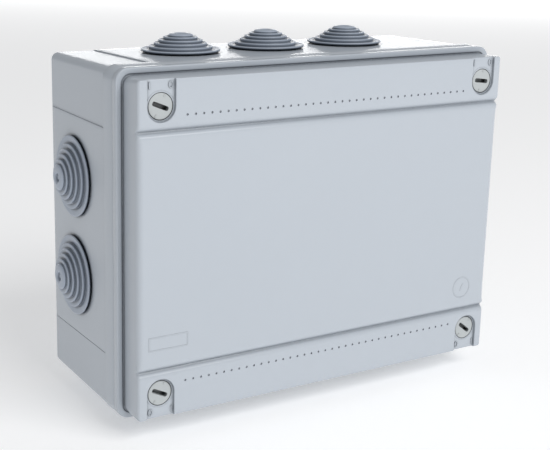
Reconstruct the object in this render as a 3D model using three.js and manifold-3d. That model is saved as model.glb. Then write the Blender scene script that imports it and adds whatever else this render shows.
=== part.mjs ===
// Surface-mounted electrical junction box: back box, lid, gasket, stepped cable membranes and
// four quarter-turn lid locks.
//
// Millimetres. X to the right and Z up, seen from the front; +Y runs into the wall.
// The origin is the centre of the back face, so the whole box lies at Y <= 0.

import * as THREE from 'three';
import { mergeVertices } from 'three/addons/utils/BufferGeometryUtils.js';
import Module from 'manifold-3d';

const wasm = await Module();
wasm.setup();

// ---------------------------------------------------------------- driving dimensions

const WIDTH = 190; // over the rim of the lid
const HEIGHT = 145.6;
const DEPTH = 81; // back face to lid face
const FIT = 0.3; // clearance left between two pieces that touch
const PAST = 5; // how far a cutter runs past the face that it cuts

// Lid, from its face backwards
const LID_FACE = -DEPTH;
const RIM_FRONT = -68.5;
const RIM_BACK = -65.3;
const RIM_REACH = 3.1; // rim beyond the raised face, on each side
const RIM_CORNER = 5.5;
const FACE_WIDTH = WIDTH - 2 * RIM_REACH;
const FACE_HEIGHT = HEIGHT - 2 * RIM_REACH;
const FACE_CORNER = 1.2;
const FACE_BEVEL = 0.6;
const LID_PLATE = 2.5; // thickness of the lid's face
const LID_WALL = 2.2;
const GROOVE_Z = 49.2; // the two grooves that part the face into three
const GROOVE_DEPTH = 1.7;
const SKIRT_END = -61.8; // the lid's skirt reaches this far into the box
const SKIRT_WALL = 1.6;
const SKIRT_PLAY = 0.5;

// Back box
const COLLAR_FRONT = -65;
const COLLAR_BACK = -57;
const BOX_FRONT_WIDTH = 188; // walls where they leave the collar
const BOX_FRONT_HEIGHT = 143.6;
const TAPER = 1.4; // how much each wall leans in between the collar and the back
const BACK_BEVEL = 1.2;
const BOX_CORNER = 3;
const WALL = 2.4;
const BACK_PLATE = 2.5;
const PANEL_RAISE = 0.4; // shallow raised panel on the middle of each wall
const SIDE_PANEL_HEIGHT = 95;
const TOP_PANEL_WIDTH = 146;

// Gasket in the lid's rim
const GASKET_WIDTH = 1.6;
const GASKET_HEIGHT = 1.3;
const GASKET_LINE_WIDTH = 186.4; // across the middle of the gasket's strip
const GASKET_LINE_HEIGHT = 142;

// Cable membranes
const GLAND_PITCH = 43.4;
const GLAND_Y = -25.8;
const GLAND_HOLE = 13.6; // radius
const GLAND_SEGMENTS = 24;

// Lid locks: a slotted head in a shallow bay, a shaft and a cross bar that turns under a ledge
const LOCK_X = 81.6;
const LOCK_Z = 59.1;
const BAY_DEPTH = 1.1;
const BAY_RADIUS = 6.25;
const BAY_FLOOR = LID_FACE + BAY_DEPTH;
const HEAD_RADIUS = 5.3;
const HEAD_HEIGHT = 3;
const SLOT = { length: 7.4, width: 1.8, depth: 2.4 };
const SHAFT_RADIUS = 3;
const SEAL = { radius: 4.2, tube: 0.7 };
const SEAL_SEAT = BAY_FLOOR + HEAD_HEIGHT + 2 * (SEAL.tube + FIT) + 0.1;
const BOSS_RADIUS = 7.6;
const BOSS_BACK = SEAL_SEAT + 2;
const BAR = { length: 9.4, width: 3, height: 2.5 };
const POST_FRONT = -64.5; // lock posts of the back box
const LEDGE = 2.5;
const BAR_FRONT = POST_FRONT + LEDGE + FIT;
const POST_BORE = 5.2;
const POST_FLOOR = -6;
const RIB = 3;
const RIB_FRONT = -61;
const PASS_ANGLES = [2, 7, 12, 17, 22, 27, 32, 37, 42]; // where the cross bar can pass the ledge

const LOCKS = [
  { name: 'top_left', side: -1, level: 1, slotAngle: 22 },
  { name: 'top_right', side: 1, level: 1, slotAngle: 7 },
  { name: 'bottom_left', side: -1, level: -1, slotAngle: 26 },
  { name: 'bottom_right', side: 1, level: -1, slotAngle: 38 },
];

// Wall fixings and pillars inside the back box
const FIXING_X = 66;
const FIXING_Z = 50;
const FIXING = { bossRadius: 8, bossHeight: 6, boreRadius: 5.5, holeRadius: 2.6, floor: 1.6 };
const CAP = { flangeRadius: 6.8, flange: 1.2, plugLength: 2 };
const PILLAR_X = 46;
const PILLAR_Z = 34;
const PILLAR = { radius: 4, height: 12, boreRadius: 1.6, boreDepth: 9 };

// ---------------------------------------------------------------- materials

function plastic(name, colour, roughness) {
  return new THREE.MeshStandardMaterial({ name, color: colour, roughness, metalness: 0 });
}

const MATERIALS = {
  shell: () => plastic('light_grey_shell', 0xc9ced5, 0.5),
  rubber: () => plastic('blue_grey_rubber', 0x9aa4b0, 0.6),
  lock: () => plastic('pale_lock_plastic', 0xc9cfca, 0.45),
  seal: () => plastic('dark_seal_rubber', 0x4a4e52, 0.8),
  cap: () => plastic('cap_plastic', 0xb4bac0, 0.5),
};

// ---------------------------------------------------------------- solids and booleans

/** A three.js geometry as a manifold solid, without seams and collapsed triangles. */
function solid(geometry) {
  const bare = new THREE.BufferGeometry();
  bare.setAttribute('position', geometry.getAttribute('position').clone());
  if (geometry.index) bare.setIndex(geometry.index.clone());
  const merged = mergeVertices(bare, 1e-4);
  const index = merged.index.array;
  const triangles = [];
  for (let i = 0; i < index.length; i += 3) {
    const [a, b, c] = [index[i], index[i + 1], index[i + 2]];
    if (a !== b && b !== c && a !== c) triangles.push(a, b, c);
  }
  return new wasm.Manifold(new wasm.Mesh({
    numProp: 3,
    vertProperties: new Float32Array(merged.getAttribute('position').array),
    triVerts: new Uint32Array(triangles),
  }));
}

/** A manifold solid as a named mesh with flat-shaded faces. */
function piece(name, body, material) {
  const mesh = body.getMesh();
  const geometry = new THREE.BufferGeometry();
  geometry.setAttribute('position', new THREE.BufferAttribute(mesh.vertProperties, 3));
  geometry.setIndex(new THREE.BufferAttribute(mesh.triVerts, 1));
  geometry.computeVertexNormals();
  const result = new THREE.Mesh(geometry, material);
  result.name = name;
  return result;
}

/** Points of a rounded rectangle in X and Z, counter-clockwise seen from the front. */
function outline(width, height, radius) {
  const steps = 5;
  const points = [];
  for (let corner = 0; corner < 4; corner++) {
    const x = (width / 2 - radius) * [1, -1, -1, 1][corner];
    const z = (height / 2 - radius) * [1, 1, -1, -1][corner];
    for (let step = 0; step <= steps; step++) {
      const angle = (corner + step / steps) * (Math.PI / 2);
      points.push([x + radius * Math.cos(angle), z + radius * Math.sin(angle)]);
    }
  }
  return points;
}

/** A solid through rounded rectangles, front to back; a section is [y, width, height, radius]. */
function loft(...sections) {
  const rings = sections.map(([, width, height, radius]) => outline(width, height, radius));
  const count = rings[0].length;
  const positions = rings.flatMap((ring, level) => ring.flatMap(([x, z]) => [x, sections[level][0], z]));
  positions.push(0, sections[0][0], 0, 0, sections.at(-1)[0], 0);
  const frontCentre = rings.length * count;
  const index = [];
  for (let i = 0; i < count; i++) {
    const next = (i + 1) % count;
    index.push(frontCentre, i, next);
    index.push(frontCentre + 1, (rings.length - 1) * count + next, (rings.length - 1) * count + i);
    for (let level = 0; level < rings.length - 1; level++) {
      const near = level * count;
      const far = near + count;
      index.push(near + i, far + i, far + next, near + i, far + next, near + next);
    }
  }
  const geometry = new THREE.BufferGeometry();
  geometry.setAttribute('position', new THREE.Float32BufferAttribute(positions, 3));
  geometry.setIndex(index);
  return solid(geometry);
}

/** A rectangular frame between two rounded rectangles, from y0 to y1. */
function frame(y0, y1, outer, inner) {
  return loft([y0, ...outer], [y1, ...outer]).subtract(loft([y0 - 1, ...inner], [y1 + 1, ...inner]));
}

/** A box given by its extents. */
function block([x0, x1], [y0, y1], [z0, z1]) {
  const geometry = new THREE.BoxGeometry(x1 - x0, y1 - y0, z1 - z0);
  geometry.translate((x0 + x1) / 2, (y0 + y1) / 2, (z0 + z1) / 2);
  return solid(geometry);
}

/** A cylinder along Y from y0 to y1. */
function rod(x, z, radius, y0, y1, segments = 32) {
  const geometry = new THREE.CylinderGeometry(radius, radius, y1 - y0, segments);
  geometry.translate(x, (y0 + y1) / 2, z);
  return solid(geometry);
}

/** A flat bar across Y, length by width, turned clockwise seen from the front. */
function crossBar(x, z, length, width, y0, y1, degrees) {
  const geometry = new THREE.BoxGeometry(length, y1 - y0, width);
  geometry.rotateY(THREE.MathUtils.degToRad(degrees));
  geometry.translate(x, (y0 + y1) / 2, z);
  return solid(geometry);
}

// ---------------------------------------------------------------- walls of the back box

/** Half width (or height) of the box at depth y, for a wall that starts at `front` at the collar. */
function reach(front, y) {
  return front / 2 - TAPER * (1 - y / COLLAR_BACK);
}

/** One section of the tapered box, made larger or smaller by `extra` on each side. */
function wallSection(y, extra, radius) {
  return [y, 2 * (reach(BOX_FRONT_WIDTH, y) + extra), 2 * (reach(BOX_FRONT_HEIGHT, y) + extra), radius];
}

/** Every cable membrane: its name, its place on the wall's surface and the way that it faces. */
function glandPlaces() {
  const lean = Math.atan(TAPER / -COLLAR_BACK);
  const places = [];
  const add = (name, position, direction) => {
    const normal = direction.clone().multiplyScalar(Math.cos(lean));
    normal.y = Math.sin(lean);
    places.push({ name, position, normal });
  };
  const side = reach(BOX_FRONT_WIDTH, GLAND_Y) + PANEL_RAISE;
  const top = reach(BOX_FRONT_HEIGHT, GLAND_Y) + PANEL_RAISE;
  for (let i = 0; i < 3; i++) {
    const x = (i - 1) * GLAND_PITCH;
    add(`top_${i + 1}`, new THREE.Vector3(x, GLAND_Y, top), new THREE.Vector3(0, 0, 1));
    add(`bottom_${i + 1}`, new THREE.Vector3(x, GLAND_Y, -top), new THREE.Vector3(0, 0, -1));
  }
  for (let i = 0; i < 2; i++) {
    const z = (0.5 - i) * GLAND_PITCH;
    add(`left_${i + 1}`, new THREE.Vector3(-side, GLAND_Y, z), new THREE.Vector3(-1, 0, 0));
    add(`right_${i + 1}`, new THREE.Vector3(side, GLAND_Y, z), new THREE.Vector3(1, 0, 0));
  }
  return places;
}

/** Turns a geometry made round +Y to face along the wall's normal, and puts it on the wall. */
function onWall(geometry, { position, normal }) {
  const turn = new THREE.Quaternion().setFromUnitVectors(new THREE.Vector3(0, 1, 0), normal);
  geometry.applyQuaternion(turn);
  geometry.translate(...position.toArray());
  return solid(geometry);
}

// ---------------------------------------------------------------- back box

function boxShell() {
  const bevelStart = -BACK_BEVEL;
  let body = loft(
    wallSection(COLLAR_BACK - 1, 0, BOX_CORNER),
    wallSection(bevelStart, 0, BOX_CORNER),
    wallSection(0, -BACK_BEVEL, BOX_CORNER - BACK_BEVEL),
  );
  body = body.add(loft([COLLAR_FRONT, WIDTH, HEIGHT, RIM_CORNER], [COLLAR_BACK, WIDTH, HEIGHT, RIM_CORNER]));
  const panelSide = (y) => [y, 2 * (reach(BOX_FRONT_WIDTH, y) + PANEL_RAISE), SIDE_PANEL_HEIGHT, 0.5];
  const panelTop = (y) => [y, TOP_PANEL_WIDTH, 2 * (reach(BOX_FRONT_HEIGHT, y) + PANEL_RAISE), 0.5];
  body = body.add(loft(panelSide(COLLAR_BACK - 1), panelSide(bevelStart)));
  body = body.add(loft(panelTop(COLLAR_BACK - 1), panelTop(bevelStart)));
  return body.subtract(loft(
    wallSection(COLLAR_FRONT - PAST, -WALL, BOX_CORNER - WALL),
    wallSection(-BACK_PLATE, -WALL, BOX_CORNER - WALL),
  ));
}

/** A hollow post with two ribs to the walls and a keyed ledge that holds a lock's cross bar. */
function addLockPost(body, { side, level }) {
  const x = side * LOCK_X;
  const z = level * LOCK_Z;
  const wallX = reach(BOX_FRONT_WIDTH, -BACK_PLATE) - WALL / 2;
  const wallZ = reach(BOX_FRONT_HEIGHT, -BACK_PLATE) - WALL / 2;
  const span = (a, b) => [Math.min(a, b), Math.max(a, b)];
  const depth = [RIB_FRONT, -BACK_PLATE / 2];
  let result = body
    .add(rod(x, z, BOSS_RADIUS, POST_FRONT, -BACK_PLATE / 2))
    .add(block(span(x, side * wallX), depth, [z - RIB / 2, z + RIB / 2]))
    .add(block([x - RIB / 2, x + RIB / 2], depth, span(z, level * wallZ)))
    .subtract(rod(x, z, POST_BORE, POST_FRONT + LEDGE, POST_FLOOR))
    .subtract(rod(x, z, SHAFT_RADIUS + FIT + 0.2, POST_FRONT - PAST, POST_FRONT + LEDGE + 1));
  for (const angle of PASS_ANGLES) {
    const [length, width] = [BAR.length + 0.8, BAR.width + 0.8];
    result = result.subtract(
      crossBar(x, z, length, width, POST_FRONT - PAST, POST_FRONT + LEDGE + 1, angle),
    );
  }
  return result;
}

/** A raised boss over a wall screw: the screw's hole, and a wider bore that the cap plugs. */
function addFixing(body, x, z) {
  const front = -BACK_PLATE - FIXING.bossHeight;
  return body
    .add(rod(x, z, FIXING.bossRadius, front, -BACK_PLATE / 2))
    .subtract(rod(x, z, FIXING.boreRadius, front - PAST, -BACK_PLATE - FIXING.floor))
    .subtract(rod(x, z, FIXING.holeRadius, front, PAST, 20));
}

/** A pillar with a blind screw hole, for a plate or a rail. */
function addPillar(body, x, z) {
  const front = -BACK_PLATE - PILLAR.height;
  return body
    .add(rod(x, z, PILLAR.radius, front, -BACK_PLATE / 2, 24))
    .subtract(rod(x, z, PILLAR.boreRadius, front - PAST, front + PILLAR.boreDepth, 16));
}

function backBox() {
  let body = boxShell();
  for (const place of glandPlaces()) {
    body = body.subtract(onWall(new THREE.CylinderGeometry(GLAND_HOLE, GLAND_HOLE, 16, 40), place));
  }
  for (const lock of LOCKS) {
    body = addLockPost(body, lock);
    body = addFixing(body, lock.side * FIXING_X, lock.level * FIXING_Z);
    body = addPillar(body, lock.side * PILLAR_X, lock.level * PILLAR_Z);
  }
  return piece('back_box', body, MATERIALS.shell());
}

/** A cap that plugs the bore over a wall screw. */
function fixingCap({ name, side, level }) {
  const [x, z] = [side * FIXING_X, level * FIXING_Z];
  const seat = -BACK_PLATE - FIXING.bossHeight - FIT;
  const body = rod(x, z, CAP.flangeRadius, seat - CAP.flange, seat)
    .add(rod(x, z, FIXING.boreRadius - FIT, seat - CAP.flange / 2, seat + CAP.plugLength));
  return piece(`fixing_cap_${name}`, body, MATERIALS.cap());
}

// ---------------------------------------------------------------- cable membranes

/** Stepped rubber membrane: flange outside the wall, neck in the hole, lip inside the wall. */
function membrane(place) {
  const inside = -(WALL + PANEL_RAISE);
  const neck = GLAND_HOLE - FIT;
  const profile = [
    [0, 7.5], [2.6, 8.1], [4.8, 7.9], [6.7, 6.4],
    [8.3, 6.4], [8.5, 5.1],
    [10.2, 5.1], [10.5, 3],
    [13, 3], [13.3, 1.6],
    [17.3, 1.6], [17.3, FIT],
    [neck, FIT], [neck, inside - FIT], [15, inside - FIT], [14, inside - 1.7], [11.6, inside - 1.7],
    [11.6, 0.9], [9, 2.9], [7.1, 4.2], [5, 5.3], [0, 6.3],
  ];
  const points = profile.map(([radius, out]) => new THREE.Vector2(radius, out)).reverse();
  const body = onWall(new THREE.LatheGeometry(points, GLAND_SEGMENTS), place);
  return piece(`cable_membrane_${place.name}`, body, MATERIALS.rubber());
}

// ---------------------------------------------------------------- lid and gasket

function lidShell() {
  const innerWidth = FACE_WIDTH - 2 * LID_WALL;
  const innerHeight = FACE_HEIGHT - 2 * LID_WALL;
  const bevel = 2 * FACE_BEVEL;
  const skirtWidth = BOX_FRONT_WIDTH - 2 * (WALL + SKIRT_PLAY);
  const skirtHeight = BOX_FRONT_HEIGHT - 2 * (WALL + SKIRT_PLAY);
  const skirt = frame(
    RIM_BACK - 1, SKIRT_END,
    [skirtWidth, skirtHeight, BOX_CORNER - WALL],
    [skirtWidth - 2 * SKIRT_WALL, skirtHeight - 2 * SKIRT_WALL, 1],
  );
  let body = loft(
    [LID_FACE, FACE_WIDTH - bevel, FACE_HEIGHT - bevel, FACE_CORNER],
    [LID_FACE + FACE_BEVEL, FACE_WIDTH, FACE_HEIGHT, FACE_CORNER],
    [RIM_FRONT + 1, FACE_WIDTH, FACE_HEIGHT, FACE_CORNER],
  );
  body = body.add(loft([RIM_FRONT, WIDTH, HEIGHT, RIM_CORNER], [RIM_BACK, WIDTH, HEIGHT, RIM_CORNER]));
  body = body.subtract(loft(
    [LID_FACE + LID_PLATE, innerWidth, innerHeight, 1],
    [RIM_BACK + PAST, innerWidth, innerHeight, 1],
  ));
  return body.add(skirt);
}

/** A V groove across the face: a square bar on edge, half of it sunk in the lid. */
function cutGroove(body, z) {
  const side = GROOVE_DEPTH * Math.SQRT2;
  const geometry = new THREE.BoxGeometry(WIDTH + PAST, side, side);
  geometry.rotateX(Math.PI / 4);
  geometry.translate(0, LID_FACE, z);
  return body.subtract(solid(geometry));
}

/** The shallow bay round a lock, open to the lid's edge, and the stepped hole in its boss. */
function cutLockBay(body, { side, level }) {
  const [x, z] = [side * LOCK_X, level * LOCK_Z];
  const edge = level * (FACE_HEIGHT / 2 + PAST);
  return body
    .add(rod(x, z, BOSS_RADIUS, LID_FACE + LID_PLATE / 2, BOSS_BACK))
    .subtract(rod(x, z, BAY_RADIUS, LID_FACE - PAST, BAY_FLOOR, 40))
    .subtract(block(
      [x - BAY_RADIUS, x + BAY_RADIUS],
      [LID_FACE - PAST, BAY_FLOOR],
      [Math.min(z, edge), Math.max(z, edge)],
    ))
    .subtract(rod(x, z, HEAD_RADIUS + FIT, LID_FACE, SEAL_SEAT, 40))
    .subtract(rod(x, z, SHAFT_RADIUS + FIT, LID_FACE, BOSS_BACK + PAST, 24));
}

function gasketFrame(width, front, back) {
  const size = (extra) => [GASKET_LINE_WIDTH + extra, GASKET_LINE_HEIGHT + extra];
  return frame(front, back, [...size(width), 4.5], [...size(-width), 3]);
}

function lid() {
  let body = lidShell();
  for (const level of [1, -1]) body = cutGroove(body, level * GROOVE_Z);
  for (const lock of LOCKS) body = cutLockBay(body, lock);
  const channelFront = RIM_BACK - GASKET_HEIGHT - FIT;
  body = body.subtract(gasketFrame(GASKET_WIDTH + 2 * FIT, channelFront, RIM_BACK + PAST));
  return piece('lid', body, MATERIALS.shell());
}

function lidGasket() {
  return piece('lid_gasket', gasketFrame(GASKET_WIDTH, RIM_BACK - GASKET_HEIGHT, RIM_BACK), MATERIALS.seal());
}

// ---------------------------------------------------------------- locks

function lidLock({ name, side, level, slotAngle }) {
  const [x, z] = [side * LOCK_X, level * LOCK_Z];
  const headBack = BAY_FLOOR + HEAD_HEIGHT;
  const barBack = BAR_FRONT + BAR.height;
  const slotFloor = BAY_FLOOR + SLOT.depth;
  const body = rod(x, z, HEAD_RADIUS, BAY_FLOOR, headBack, 40)
    .add(rod(x, z, SHAFT_RADIUS, headBack - 1, barBack, 24))
    .add(crossBar(x, z, BAR.length, BAR.width, BAR_FRONT, barBack, slotAngle))
    .subtract(crossBar(x, z, SLOT.length, SLOT.width, BAY_FLOOR - 1, slotFloor, slotAngle));
  return piece(`lid_lock_${name}`, body, MATERIALS.lock());
}

/** Rubber ring on a lock's shaft, under its head. */
function lockSeal({ name, side, level }) {
  const geometry = new THREE.TorusGeometry(SEAL.radius, SEAL.tube, 8, 20);
  geometry.rotateX(Math.PI / 2);
  geometry.translate(side * LOCK_X, SEAL_SEAT - FIT - SEAL.tube, level * LOCK_Z);
  return piece(`lock_seal_${name}`, solid(geometry), MATERIALS.seal());
}

// ---------------------------------------------------------------- assembly

const junctionBox = new THREE.Group();
junctionBox.name = 'junction_box';
junctionBox.add(backBox(), lid(), lidGasket());
for (const place of glandPlaces()) junctionBox.add(membrane(place));
for (const lock of LOCKS) junctionBox.add(lidLock(lock), lockSeal(lock), fixingCap(lock));

export default junctionBox;
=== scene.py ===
"""Looks of a surface-mounted electrical junction box: moulded lid, back box, stepped cable
membranes and slotted lid locks, around the fixed CAD frame.

Shapes are worked out in millimetres and put into the meshes in metres. X to the right, Z up,
+Y into the wall. A shape is a grid or a run of rings of points, computed as whole arrays.
"""

import math

import bmesh
import bpy
import numpy as np
from mathutils import Matrix, Vector


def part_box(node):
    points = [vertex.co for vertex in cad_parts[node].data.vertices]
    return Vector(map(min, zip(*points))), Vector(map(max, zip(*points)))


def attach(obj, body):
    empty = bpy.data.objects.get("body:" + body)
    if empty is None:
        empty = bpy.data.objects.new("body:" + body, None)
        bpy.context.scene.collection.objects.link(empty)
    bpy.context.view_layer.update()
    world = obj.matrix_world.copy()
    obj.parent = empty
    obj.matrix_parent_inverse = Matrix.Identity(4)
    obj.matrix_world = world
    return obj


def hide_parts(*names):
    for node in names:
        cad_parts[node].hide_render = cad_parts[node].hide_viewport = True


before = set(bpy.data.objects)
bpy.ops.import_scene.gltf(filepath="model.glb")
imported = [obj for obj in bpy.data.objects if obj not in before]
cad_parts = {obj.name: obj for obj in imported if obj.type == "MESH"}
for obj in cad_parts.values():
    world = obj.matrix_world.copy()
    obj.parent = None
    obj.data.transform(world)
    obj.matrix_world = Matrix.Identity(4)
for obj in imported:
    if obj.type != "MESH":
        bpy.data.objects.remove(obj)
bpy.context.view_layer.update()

MM = 0.001


def node_box(name):
    """Lowest and highest corner of a CAD node, in millimetres."""
    low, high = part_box(name)
    return np.array(low) / MM, np.array(high) / MM


# ---------------------------------------------------------------- sizes, in millimetres

LID_LOW, LID_HIGH = node_box("lid")
BOX_LOW, _ = node_box("back_box")
RIM_X, RIM_Z = LID_HIGH[0], LID_HIGH[2]  # half sizes over the rim of the lid
FACE_Y = LID_LOW[1]
RIM_REACH = 3.1
FACE_X, FACE_Z = RIM_X - RIM_REACH, RIM_Z - RIM_REACH
EDGE_X, EDGE_Z = FACE_X - 3.2, FACE_Z - 3.2  # border of the lid's flat face
KEEP = 0.7  # how far in from a border the last lines slide to meet a corner
PLATE_BACK = FACE_Y + 2.5
SKIRT_END = LID_HIGH[1]

GROOVE_Z = 49.2
LOCK_X, LOCK_Z = 81.6, 59.1
BAY_DEPTH, LOCK_HOLE, HEAD_RADIUS = 1.1, 5.5, 5.3
BAY_REACH = 8.2  # lines about a lock are bent out to here
FLARE, ROOM = 0.1, 0.4  # how much a lock's hole widens just below its edge, and further in
SEAL_SEAT, BOSS_BACK, BOSS_RADIUS = -74.8, -72.8, 7.6
SHAFT_HOLE = 3.3
SLOT_DEPTH = 2.6

DOT_Z, DOT_PITCH, DOT_COUNT = 55.3, 3.7, 39
DOT_DEPTH, DOT_ROUND, DOT_REACH = 0.35, 0.52, 0.85

# radius of the face's edge: at top and bottom, at the bands' sides, at the centre panel's sides
TOP_ROUND, BAND_ROUND, PANEL_ROUND = 0.45, 1.3, 2.6

COLLAR_FRONT, COLLAR_BACK = BOX_LOW[1], -57.0
WALL_X, WALL_Z = RIM_X - 1, RIM_Z - 1  # the walls where they leave the collar
TAPER, BACK_BEVEL, WALL, BACK_PLATE, BOX_CORNER = 1.4, 1.2, 2.4, 2.5, 3.0
PANEL_RAISE, SIDE_PANEL, TOP_PANEL = 0.4, 47.5, 73.0
STEP = np.array([-0.3, -0.12, 0.08, 0.25, 0.5])  # across the edge of a raised panel, and its rise
STEP_RISE = np.array([1, 0.9, 0.1, 0, 0])
STEP_GROOVE = np.array([1, 0.95, -0.7, -0.9, 0])  # the same on the side walls' lower edges, with a groove
GLAND_PITCH, GLAND_Y, GLAND_HOLE, GLAND_REACH = 43.4, -25.8, 13.6, 17.4
FIXING_X, FIXING_Z, FIXING_HOLE, FIXING_REACH = 66.0, 50.0, 2.6, 4.39
PILLAR_X, PILLAR_Z = 46.0, 34.0

LOCKS = {  # name: side, level, turn of the slot below +X in degrees
    "top_left": (-1, 1, 22),
    "top_right": (1, 1, 7),
    "bottom_left": (-1, -1, 26),
    "bottom_right": (1, -1, 38),
}


# ---------------------------------------------------------------- building skins


class Skin:
    """Points and triangles of one closed skin, gathered ring by ring and grid by grid."""

    def __init__(self):
        self.points, self.faces, self.count = [], [], 0

    def add(self, x, y, z):
        """Takes in points and gives back their numbers, in the shape of x."""
        x, y, z = np.broadcast_arrays(x, y, z)
        self.points.append(np.stack([x, y, z], -1).reshape(-1, 3))
        numbers = self.count + np.arange(x.size).reshape(x.shape)
        self.count += x.size
        return numbers

    def quads(self, a, b, c, d):
        """Splits quads into triangles, and drops those with a point named twice."""
        corners = [np.asarray(p).reshape(-1) for p in (a, b, c, d)]
        tris = np.concatenate([np.stack([corners[0], corners[1], corners[2]], 1),
                               np.stack([corners[0], corners[2], corners[3]], 1)])
        same = (tris[:, 0] == tris[:, 1]) | (tris[:, 1] == tris[:, 2]) | (tris[:, 2] == tris[:, 0])
        self.faces.append(tris[~same])

    def grid(self, index, open_cells=None):
        """Faces of a grid of point numbers, but for the cells marked open."""
        keep = np.ones((index.shape[0] - 1, index.shape[1] - 1), bool)
        if open_cells is not None:
            keep &= ~open_cells
        self.quads(index[:-1, :-1][keep], index[:-1, 1:][keep], index[1:, 1:][keep], index[1:, :-1][keep])

    def bridge(self, a, b):
        """Faces between two closed rings with as many points each."""
        self.quads(a, np.roll(a, -1), np.roll(b, -1), b)

    def step(self, last, x, y, z):
        """Takes in a ring, joins it to the last one and gives back its numbers."""
        ring = self.add(x, y, z)
        self.bridge(last, ring)
        return ring

    def cap(self, ring):
        """Closes a ring with a fan of triangles from its first point."""
        self.quads(ring[0] + 0 * ring, ring, np.roll(ring, -1), ring[0] + 0 * ring)

    def tube(self, rings):
        """Joins a run of rings, each to the next, and closes both ends."""
        for a, b in zip(rings[:-1], rings[1:]):
            self.bridge(a, b)
        self.cap(rings[0])
        self.cap(rings[-1])

    def part(self):
        """The points in use and the triangles between them."""
        faces = np.concatenate(self.faces)
        used, renumbered = np.unique(faces, return_inverse=True)
        return np.concatenate(self.points)[used], renumbered.reshape(-1, 3)


def make_piece(name, parts, material, body, slot, *stands_for, crease=32):
    """One mesh out of (points, triangles) parts, facing outwards, smooth but for edges past `crease`."""
    starts = np.cumsum([0] + [len(points) for points, _ in parts[:-1]])
    points = np.concatenate([points for points, _ in parts]) * MM
    faces = np.concatenate([faces + start for (_, faces), start in zip(parts, starts)])
    mesh = bpy.data.meshes.new(name)
    mesh.vertices.add(len(points))
    mesh.vertices.foreach_set("co", points.astype(np.float32).ravel())
    mesh.loops.add(faces.size)
    mesh.loops.foreach_set("vertex_index", faces.astype(np.int32).ravel())
    mesh.polygons.add(len(faces))
    mesh.polygons.foreach_set("loop_start", np.arange(0, faces.size, 3, dtype=np.int32))
    mesh.update(calc_edges=True)
    work = bmesh.new()
    work.from_mesh(mesh)
    bmesh.ops.recalc_face_normals(work, faces=work.faces)
    work.to_mesh(mesh)
    work.free()
    mesh.polygons.foreach_set("use_smooth", np.ones(len(mesh.polygons), bool))
    mesh.set_sharp_from_angle(angle=math.radians(crease))
    mesh.materials.append(material)
    obj = bpy.data.objects.new(name, mesh)
    bpy.context.scene.collection.objects.link(obj)
    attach(obj, body)
    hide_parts(*stands_for)


def ring_border(index):
    """The border of a grid of point numbers, once round."""
    return np.concatenate([index[0, :-1], index[:-1, -1], index[-1, :0:-1], index[:0:-1, 0]])


def merge_lines(first, others, gap):
    """Grid lines: all of `first`, and those of `others` that keep `gap` clear of them."""
    first = np.unique(np.round(first, 4))
    others = np.unique(np.round(others, 4))
    clear = np.abs(others[:, None] - first[None, :]).min(1) > gap
    return np.sort(np.concatenate([first, others[clear]]))


def mirrored(lines):
    """Lines on both sides of zero."""
    lines = np.asarray(lines, float)
    return np.unique(np.concatenate([-lines, lines]))


def around(centre, offsets):
    """Lines at the given distances on both sides of a centre."""
    return centre + mirrored(offsets)


def to_circle(u, v, round_to, flat_from):
    """Turns squares about a centre into circles: a point moves along its ray by (m / r) to the
    power w, where m is the larger of |u| and |v|, r the distance, and w falls from 1 inside
    `round_to` to 0 at `flat_from`."""
    m = np.maximum(np.abs(u), np.abs(v))
    r = np.maximum(np.hypot(u, v), 1e-9)
    weight = np.clip((flat_from - m) / (flat_from - round_to), 0, 1)
    factor = np.where(m > 1e-9, np.maximum(m, 1e-9) / r, 1.0) ** weight
    return u * factor, v * factor


def bend_about(x, z, centre_x, centre_z, round_to, flat_from, there=True):
    """Bends the squares of a grid's lines about a centre into circles, where `there` holds."""
    u, v = x - centre_x, z - centre_z
    near = there & (np.maximum(np.abs(u), np.abs(v)) < flat_from)
    u, v = to_circle(u, v, round_to, flat_from)
    return np.where(near, centre_x + u, x), np.where(near, centre_z + v, z)


def span(lines, centre, reach):
    """Numbers of the lines that stand `reach` before and after a centre."""
    return [int(np.abs(lines - (centre + d)).argmin()) for d in (-reach, reach)]


def block(rows, columns):
    """The part of a grid between two rows and two columns, with all four in it."""
    return np.s_[rows[0]:rows[1] + 1, columns[0]:columns[1] + 1]


def turned(a, b, angle, centre):
    """Points a, b turned below +X in the X-Z plane and moved to a centre."""
    return (centre[0] + a * math.cos(angle) + b * math.sin(angle),
            centre[1] - a * math.sin(angle) + b * math.cos(angle))


def border_path(x_lines, z_lines, fan):
    """Once round a rectangle grid's border: x, z, and the way each point faces. Each corner comes
    `fan` times, turning through a quarter. `along` runs 0..1 on each side and in each corner."""
    x, z, facing, along = [], [], [], []
    left, right, low, high = x_lines[0], x_lines[-1], z_lines[0], z_lines[-1]
    sides = [
        (x_lines[1:-1], np.full(len(x_lines) - 2, low), right, low),
        (np.full(len(z_lines) - 2, right), z_lines[1:-1], right, high),
        (x_lines[-2:0:-1], np.full(len(x_lines) - 2, high), left, high),
        (np.full(len(z_lines) - 2, left), z_lines[-2:0:-1], left, low),
    ]
    for turn, (side_x, side_z, corner_x, corner_z) in enumerate(sides):
        angle = (turn - 1) * 90.0
        share = (side_x - left) / (right - left) if turn % 2 == 0 else (side_z - low) / (high - low)
        if turn >= 2:
            share = 1 - share
        x += [side_x, np.full(fan, corner_x)]
        z += [side_z, np.full(fan, corner_z)]
        facing += [np.full(len(side_x), angle), np.linspace(angle, angle + 90, fan)]
        along += [2 * turn + share, 2 * turn + 1 + np.linspace(0, 1, fan) * 0.999]
    facing = np.radians(np.concatenate(facing))
    return {
        "x": np.concatenate(x), "z": np.concatenate(z), "along": np.concatenate(along),
        "nx": np.round(np.cos(facing), 12), "nz": np.round(np.sin(facing), 12),
    }


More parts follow.
